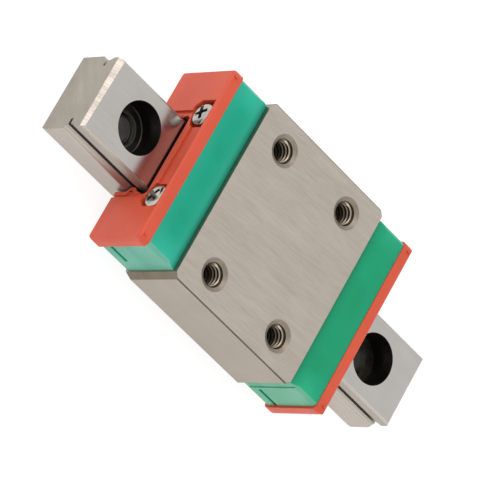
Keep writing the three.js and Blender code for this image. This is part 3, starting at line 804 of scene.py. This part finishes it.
def make_seals():
    w = SEAL_W / 2
    x0 = CAP_X1
    corner = [
        *arc(w - 0.5, SEAL_BOTTOM + 0.5, 0.5, -90, 0, 8),
        *arc(w - 0.45, SEAL_TOP - 0.45, 0.45, 0, 90, 8),
    ]
    rw, rh = RAIL_W / 2 + SEAL_GAP, RAIL_HEAD_W / 2 + SEAL_HEAD_GAP
    tooth = GROOVE_R - SEAL_GAP
    lo = deg(math.asin(math.sqrt(tooth**2 - (BALL_Y - rw) ** 2) / tooth))
    hi = deg(math.asin(math.sqrt(tooth**2 - (BALL_Y - rh) ** 2) / tooth))
    opening = mirrored(
        [
            (rw, 0),
            *arc(BALL_Y, BALL_Z, tooth, 180 + lo, 180 - hi, 14),
            (rh, RAIL_H - RAIL_TOP_CHAMFER),
            (rh - 0.05, RAIL_H + SEAL_GAP_TOP - 0.09),
            (rh - 0.2, RAIL_H + SEAL_GAP_TOP),
        ]
    )
    # a lip that follows the rail, standing out beside the opening
    lw = 0.34
    t2 = tooth - lw
    lip = mirrored(
        [
            (rw + lw, SEAL_BOTTOM),
            (rw + lw, BALL_Z - 0.62),
            (rw + lw - 0.02, BALL_Z - 0.42),
            (BALL_Y - t2 * 0.80, BALL_Z - t2 * 0.6),
            (BALL_Y - t2, BALL_Z),
            (BALL_Y - t2 * 0.75, BALL_Z + t2 * 0.66),
            (rh + 0.26, BALL_Z + 0.62),
            (rh + 0.26, 4.38),
            (rh - 0.5, 4.38),
        ]
    )
    seal = prism(mirrored(corner), x0, x0 + SEAL_T)
    rim = mirrored([(4.6, SEAL_BOTTOM), (4.6, RAIL_H + 0.95)])
    join(seal, prism(rim, x0 + 0.1, x0 + SEAL_RIM_T))
    join(seal, prism(lip, x0 + 0.12, x0 + SEAL_RIM_T + 0.13))
    for sy in (-1, 1):
        wing = [(4.2, SEAL_BOTTOM), *corner, (5.0, SEAL_TOP), (5.0, 6.0), (4.2, 5.6)]
        join(seal, prism(side(sy, wing), x0 + 0.1, x0 + SEAL_WING_T))
    join(seal, box(x0 + 0.1, x0 + SEAL_WING_T, -5.3, 5.3, SEAL_TOP - SEAL_STRIP, SEAL_TOP))
    cut(seal, prism(opening, x0 - 1, x0 + 3))
    # the mouth is wider than the lip behind it
    mouth = mirrored([(rh + 0.16, 4.56), (rh + 0.16, RAIL_H - 0.06), (rh - 0.06, RAIL_H + SEAL_GAP_TOP + 0.1)])
    cut(seal, prism(mouth, x0 + 0.5, x0 + 3))
    t = x0 + SEAL_WING_T
    cut(seal, prism([(t + 1, SEAL_TOP + 1), (t + 1, SEAL_TOP - 1.17), (t - 1.17, SEAL_TOP + 1)], -10, 10, "y"))
    for sy in (-1, 1):
        pocket = [
            (2.75, 5.85),
            (3.2, 5.6),
            (3.6, 5.46),
            (4.0, 5.4),
            (4.55, 5.4),
            (5.12, 5.97),
            (5.12, SEAL_TOP - SEAL_STRIP),
            (2.75, SEAL_TOP - SEAL_STRIP),
        ]
        cut(seal, prism(side(sy, pocket), x0 + POCKET_FLOOR, x0 + 3))
        s = [(t - 3.0, sy * (w + 1)), (t + 2, sy * (w - 1)), (t + 2, sy * (w + 1))]
        cut(seal, prism(s, 0, 9, "z"))
    soften(seal, 0.03, 2)
    for sy in (-1, 1):
        nib = [(w - 0.72, SEAL_TOP - 0.2), (w - 0.50, SEAL_TOP - 0.2), (w - 0.54, SEAL_TOP + 0.11), (w - 0.62, SEAL_TOP + 0.13), (w - 0.68, SEAL_TOP + 0.11)]
        join(seal, prism(side(sy, nib), x0 + 0.55, x0 + 0.85))
        cut(seal, bar(0.75, x0 - 1, x0 + 4, 40, "x", (0, sy * SCREW_Y, SCREW_Z)))
    tidy(seal, 0.05)
    slices(seal, "y", [-7.55, -5.4, -2.5, 2.5, 5.4, 7.55])
    slices(seal, "z", [2.3, SEAL_TOP - 0.5])
    for end, m in ENDS.items():
        ob = copy_of(seal)
        # faces inside the rail opening are painted near-black: painted shade under the lip
        paint(
            ob,
            [RED, RED_LIP_SHADE],
            lambda c, n: 1
            if abs(c.y) < rh + 0.1 and c.z < RAIL_H + SEAL_GAP_TOP + 0.18 and (abs(n.x) < 0.6 or c.x < x0 + 0.52)
            else 0,
        )
        finish(ob)
        place(ob, f"{end}_seal_moulding", "carriage", [f"{end}_end_seal"], m)
    bpy.data.objects.remove(seal)


# ------------------------------------------------------------------ cap screws


def make_screws():
    l = CAP_X1 + POCKET_FLOOR - 4.9
    top = l + 0.72
    head = [(0.7, l), (1.02, l), (1.05, l + 0.04), (1.05, l + 0.42)]
    head += [
        (1.05 - 0.62 * (1 - math.cos(a)), l + 0.42 + 0.28 * math.sin(a))
        for a in [math.radians(x) for x in (12, 24, 36, 48, 60, 72, 84)]
    ]
    screw = turned([(0, 0), (0.45, 0), (0.66, 0.2), (0.7, 0.25), *head, (0.25, top), (0, top)], 72, "x")

    # cross recess: four tapered wings and a cone
    def wing(turned90):
        v = []
        for x, reach, k in ((top - 0.42, 0.30, 0.10), (top + 0.1, 0.76, 0.19)):
            for a, b in ((-reach, -k), (reach, -k), (reach, k), (-reach, k)):
                v.append((x, b, a) if turned90 else (x, a, b))
        return raw(v, [[0, 3, 2, 1], [4, 5, 6, 7], [0, 1, 5, 4], [1, 2, 6, 5], [2, 3, 7, 6], [3, 0, 4, 7]])

    cross = join(wing(False), wing(True))
    join(cross, turned([(0, top - 0.46), (0.14, top - 0.42), (0.3, top + 0.1), (0, top + 0.1)], 24, "x"))
    soften(screw, 0.02, 2, 40)
    cut(screw, cross)
    tidy(screw, 0.05)
    for end, m in ENDS.items():
        for sy in (-1, 1):
            which = "left" if (sy if end == "rear" else -sy) > 0 else "right"
            ob = copy_of(screw)
            # the cross recess is painted dark: painted shade
            paint(
                ob,
                [NICKEL, RECESS_SHADE],
                lambda c, n: 1 if c.x > top - 0.5 and math.hypot(c.y, c.z) < 0.72 and n.x < 0.75 and c.x < top - 0.02 else 0,
            )
            finish(ob, 30)
            spin = Matrix.Rotation(math.radians(SCREW_TURNS[f"{end}_{which}"]), 4, "X")
            place(
                ob,
                f"{end}_screw_{which}",
                "carriage",
                [f"{end}_cap_screw_{which}"],
                m @ Matrix.Translation((4.9, sy * SCREW_Y, SCREW_Z)) @ spin,
            )
    bpy.data.objects.remove(screw)


# ------------------------------------------------------------------ balls and wires


def make_balls():
    bm = bmesh.new()
    bmesh.ops.create_icosphere(bm, subdivisions=4, radius=BALL_D / 2)
    me = bpy.data.meshes.new("ball")
    bm.to_mesh(me)
    bm.free()
    for name in sorted(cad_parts):
        if not name.startswith("ball_left_") and not name.startswith("ball_right_"):
            continue
        a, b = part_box(name)
        centre = (a + b) / 2 / MM
        ob = link(name, me.copy())
        paint(ob, [CHROME], lambda c, n: 0)
        for p in ob.data.polygons:
            p.use_smooth = True
        place(ob, name.replace("ball_", "bearing_ball_"), "carriage", [name], Matrix.Translation(centre))
    bpy.data.meshes.remove(me)


def make_wires():
    r = 0.35
    for which, sy in (("left", 1), ("right", -1)):
        path = [(-WIRE_HOOK_X, WIRE_HOOK_Y), (-WIRE_HOOK_X, (WIRE_HOOK_Y + WIRE_Y + r) / 2)]
        for cx, a0 in ((-WIRE_HOOK_X + r, 180), (WIRE_HOOK_X - r, 270)):
            for i in range(13):
                a = math.radians(a0 + 90 * i / 12)
                path.append((cx + r * math.cos(a), WIRE_Y + r + r * math.sin(a)))
        path += [(WIRE_HOOK_X, (WIRE_HOOK_Y + WIRE_Y + r) / 2), (WIRE_HOOK_X, WIRE_HOOK_Y)]
        n, verts, faces = 16, [], []
        for i, (x, y) in enumerate(path):
            a, b = path[max(0, i - 1)], path[min(len(path) - 1, i + 1)]
            t = Vector((b[0] - a[0], b[1] - a[1])).normalized()
            for k in range(n):
                p = 2 * math.pi * k / n
                u = WIRE_D / 2 * math.cos(p)
                verts.append((x - t.y * u, sy * (y + t.x * u), RELIEF_Z + WIRE_D / 2 * math.sin(p)))
        for i in range(len(path) - 1):
            for k in range(n):
                faces.append([i * n + k, i * n + (k + 1) % n, (i + 1) * n + (k + 1) % n, (i + 1) * n + k])
        faces += [list(range(n)), [len(verts) - n + k for k in range(n)]]
        ob = raw(verts, faces)
        paint(ob, [WIRE], lambda c, n: 0)
        finish(ob, 40, False)
        place(ob, f"retaining_wire_{which}", "carriage", [f"ball_wire_{which}"], REAR)


make_rail()
make_block()
make_caps()
make_guides()
make_seals()
make_screws()
make_balls()
make_wires()

# ------------------------------------------------------------------ camera
right = Vector((0.610044684, 0.451864505, 0.650894732))
down = Vector((0.602501092, -0.798046761, -0.010667752))
ahead = Vector((0.514624054, 0.398672592, -0.759093043))
cam_data = bpy.data.cameras.new("camera")
cam_data.sensor_fit = "HORIZONTAL"
cam_data.sensor_width = 36.0
cam_data.lens = 344.6724
cam_data.clip_start = 0.02
cam_data.clip_end = 20.0
cam = bpy.data.objects.new("camera", cam_data)
m = Matrix.Identity(4)
for i in range(3):
    m[i][0], m[i][1], m[i][2] = right[i], -down[i], -ahead[i]
m[0][3], m[1][3], m[2][3] = -186.143821 * MM, -143.574368 * MM, 276.955412 * MM
cam.matrix_world = m
scene.collection.objects.link(cam)
scene.camera = cam

# ------------------------------------------------------------------ floor, light
floor = raw([(-1500, -1500, -0.02), (1500, -1500, -0.02), (1500, 1500, -0.02), (-1500, 1500, -0.02)], [[0, 1, 2, 3]], "floor")
floor.data.transform(Matrix.Scale(MM, 4))
floor.name = "floor"
fn = Nodes("floor_white")
fn.done((0.80, 0.80, 0.80), 0.9, None)
fn.bsdf.inputs["Base Color"].default_value = (0.30, 0.30, 0.30, 1)
fn.bsdf.inputs["Specular IOR Level"].default_value = 0.0
fn.bsdf.inputs["Emission Color"].default_value = (1, 1, 1, 1)
fn.bsdf.inputs["Emission Strength"].default_value = 0.83
floor.data.materials.append(fn.mat)

world = bpy.data.worlds.new("studio")
scene.world = world
world.use_nodes = True
wt = world.node_tree
wc = wt.nodes.new("ShaderNodeTexCoord")
wd = wt.nodes.new("ShaderNodeVectorMath")
wd.operation = "DOT_PRODUCT"
wd.inputs[1].default_value = (0.56, 0.43, 0.708)
wr = wt.nodes.new("ShaderNodeMapRange")
wr.inputs["From Min"].default_value = -0.7
wr.inputs["From Max"].default_value = 1.0
wr.inputs["To Min"].default_value = 0.60
wr.inputs["To Max"].default_value = 1.08
wt.links.new(wc.outputs["Generated"], wd.inputs[0])
wt.links.new(wd.outputs["Value"], wr.inputs["Value"])
wt.links.new(wr.outputs["Result"], wt.nodes["Background"].inputs["Strength"])
wt.nodes["Background"].inputs["Color"].default_value = (1.0, 1.0, 1.0, 1)


def area(name, place_at, aim, size, power, colour=(1, 1, 1)):
    data = bpy.data.lights.new(name, "AREA")
    data.shape = "RECTANGLE"
    data.size, data.size_y = size
    data.energy = power
    data.color = colour
    ob = bpy.data.objects.new(name, data)
    ob.location = place_at
    ob.rotation_euler = (Vector(aim) - Vector(place_at)).to_track_quat("-Z", "Y").to_euler()
    scene.collection.objects.link(ob)
    return ob


area("key", (-0.36, 0.22, 0.34), (0, 0, 0.004), (0.40, 0.40), 0.85, (1.0, 0.985, 0.96))
area("edge", (0.28, -0.42, 0.20), (0, 0, 0.004), (0.32, 0.22), 0.30, (1.0, 0.985, 0.96))

scene.view_settings.view_transform = "Standard"
scene.view_settings.look = "None"
scene.view_settings.exposure = 0.0
scene.view_settings.gamma = 1.0
